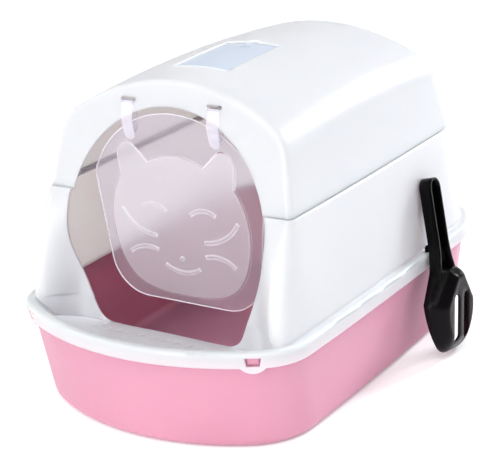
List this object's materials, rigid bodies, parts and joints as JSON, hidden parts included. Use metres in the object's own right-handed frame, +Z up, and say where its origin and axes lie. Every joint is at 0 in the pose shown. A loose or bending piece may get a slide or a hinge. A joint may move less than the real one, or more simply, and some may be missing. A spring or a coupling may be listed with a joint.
{
  "type": "hooded cat litter box",
  "caption": "Hooded cat litter box: pink tray, split white hood with an arched doorway, clear swing flap with a cat's face, filter lid in the crown and a slotted scoop on the rim.",
  "frame": {"origin": "middle of the tray's flat underside, under the middle of the rim", "axes": "+Z up, -Y the side with the doorway, +X the side with the scoop"},
  "size_m": [0.4224, 0.57, 0.373],
  "materials": {
    "pink_plastic": "satin",
    "white_plastic": "satin",
    "clear_plastic": "frosted",
    "grey_plastic": "satin",
    "carbon_felt": "felt",
    "black_plastic": "gloss"
  },
  "bodies": {
    "tray": {"tray": "pink_plastic"},
    "lower_hood": {"lower_hood": "white_plastic"},
    "upper_hood": {"upper_hood": "white_plastic", "carbon_filter": "carbon_felt", "left_strap": "clear_plastic", "right_strap": "clear_plastic"},
    "flap": {"flap": "clear_plastic"},
    "filter_lid": {"filter_lid": "grey_plastic"},
    "scoop": {"scoop": "black_plastic"}
  },
  "joints": [
    {"name": "lower_hood_lift", "type": "slide", "parent": "tray", "child": "lower_hood", "axis": [0, 0, 1], "range_m": [0, 0.12]},
    {"name": "upper_hood_lift", "type": "slide", "parent": "lower_hood", "child": "upper_hood", "axis": [0, 0, 1], "range_m": [0, 0.12]},
    {"name": "flap_swing", "type": "hinge", "parent": "upper_hood", "child": "flap", "pos_m": [0, -0.149, 0.324], "axis": [1, 0, 0], "range_deg": [-70, 70], "deforming": ["left_strap", "right_strap"]},
    {"name": "filter_lid_hinge", "type": "hinge", "parent": "upper_hood", "child": "filter_lid", "pos_m": [0, -0.082, 0.36396], "axis": [1, 0, 0], "range_deg": [0, 100]},
    {"name": "scoop_lift", "type": "slide", "parent": "lower_hood", "child": "scoop", "axis": [0, 0, 1], "range_m": [0, 0.06]}
  ]
}
